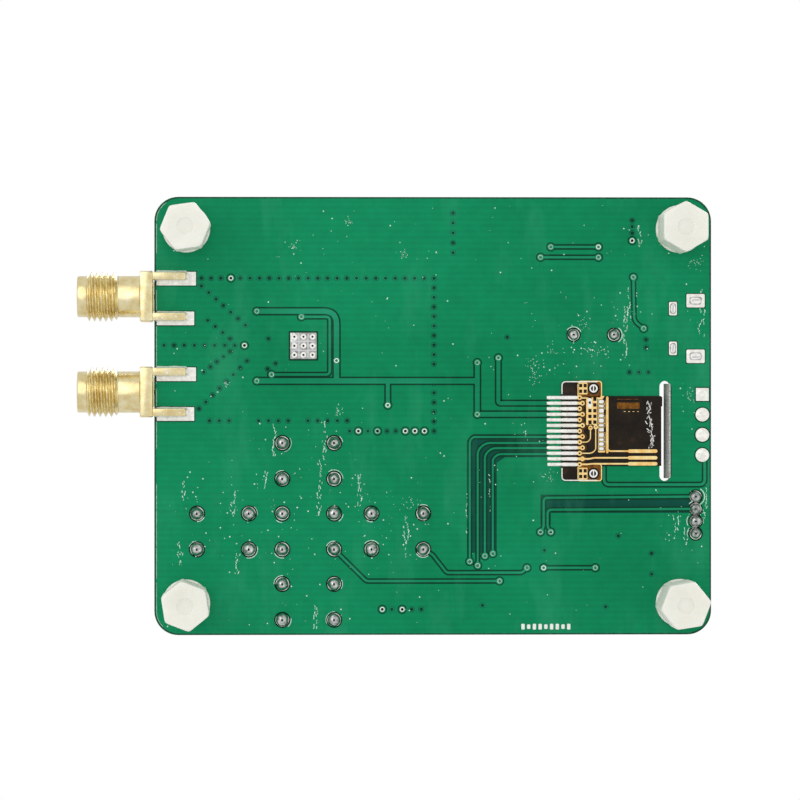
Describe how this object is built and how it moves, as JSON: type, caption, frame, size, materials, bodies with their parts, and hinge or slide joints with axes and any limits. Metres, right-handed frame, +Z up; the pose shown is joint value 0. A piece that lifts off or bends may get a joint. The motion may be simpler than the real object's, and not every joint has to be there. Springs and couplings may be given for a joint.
{
  "type": "vector network analyzer",
  "caption": "Bare-board vector network analyzer: two gold coaxial jacks, small display, key pad and USB inlet on a green circuit board with hexagonal feet.",
  "frame": {"origin": "on the rest surface under the feet, at the middle of the bounding box", "axes": "+Z up with the component side on top, +X out of the coaxial jacks, +Y towards the first jack's side"},
  "size_m": [0.0798, 0.055, 0.0166],
  "materials": {
    "solder_mask": "satin",
    "nylon": "satin",
    "gold_plate": "polished",
    "ptfe": "satin",
    "solder": "satin",
    "display_glass": "gloss",
    "white_plastic": "satin",
    "black_tape": "matte",
    "polyimide": "gloss",
    "black_plastic": "satin",
    "steel": "satin",
    "tinned_metal": "satin",
    "ivory_plastic": "satin",
    "chip_resin": "matte",
    "oscillator_lid": "satin",
    "capacitor_ceramic": "matte",
    "resistor_glaze": "gloss",
    "lamp_lens": "gloss"
  },
  "bodies": {
    "board": {"pcb": "solder_mask", "foot_1": "nylon", "foot_2": "nylon", "foot_3": "nylon", "foot_4": "nylon", "corner_screws": "nylon", "jack_1_shell": "gold_plate", "jack_1_insulator": "ptfe", "jack_1_contact": "gold_plate", "jack_2_shell": "gold_plate", "jack_2_insulator": "ptfe", "jack_2_contact": "gold_plate", "jack_solder": "solder", "display_panel": "display_glass", "display_backlight": "white_plastic", "display_tape": "black_tape", "display_flex": "polyimide", "flex_solder": "solder", "key_left_case": "black_plastic", "key_left_cover": "steel", "key_left_dome": "steel", "key_right_case": "black_plastic", "key_right_cover": "steel", "key_right_dome": "steel", "key_up_case": "black_plastic", "key_up_cover": "steel", "key_up_dome": "steel", "key_down_case": "black_plastic", "key_down_cover": "steel", "key_down_dome": "steel", "key_centre_case": "black_plastic", "key_centre_cover": "steel", "key_centre_dome": "steel", "key_terminals": "tinned_metal", "key_solder": "solder", "usb_shell": "steel", "usb_tongue": "black_plastic", "usb_contacts": "gold_plate", "crystal_can": "steel", "crystal_leads": "tinned_metal", "side_header_housing": "ivory_plastic", "side_header_pins": "tinned_metal", "lead_solder": "solder", "rf_chip": "chip_resin", "controller_body": "chip_resin", "controller_leads": "tinned_metal", "regulator_bodies": "chip_resin", "regulator_leads": "tinned_metal", "reference_oscillator": "oscillator_lid", "chip_capacitors": "capacitor_ceramic", "chip_resistors": "resistor_glaze", "status_light": "lamp_lens"},
    "key_left_button": {"key_left_plunger": "black_plastic"},
    "key_right_button": {"key_right_plunger": "black_plastic"},
    "key_up_button": {"key_up_plunger": "black_plastic"},
    "key_down_button": {"key_down_plunger": "black_plastic"},
    "key_centre_button": {"key_centre_plunger": "black_plastic"}
  },
  "joints": [
    {"name": "key_left_press", "type": "slide", "parent": "board", "child": "key_left_button", "axis": [0, 0, -1], "range_m": [0, 0.00025], "stiffness_N_per_m": 4000, "deforming": ["key_left_dome"]},
    {"name": "key_right_press", "type": "slide", "parent": "board", "child": "key_right_button", "axis": [0, 0, -1], "range_m": [0, 0.00025], "stiffness_N_per_m": 4000, "deforming": ["key_right_dome"]},
    {"name": "key_up_press", "type": "slide", "parent": "board", "child": "key_up_button", "axis": [0, 0, -1], "range_m": [0, 0.00025], "stiffness_N_per_m": 4000, "deforming": ["key_up_dome"]},
    {"name": "key_down_press", "type": "slide", "parent": "board", "child": "key_down_button", "axis": [0, 0, -1], "range_m": [0, 0.00025], "stiffness_N_per_m": 4000, "deforming": ["key_down_dome"]},
    {"name": "key_centre_press", "type": "slide", "parent": "board", "child": "key_centre_button", "axis": [0, 0, -1], "range_m": [0, 0.00025], "stiffness_N_per_m": 4000, "deforming": ["key_centre_dome"]}
  ]
}
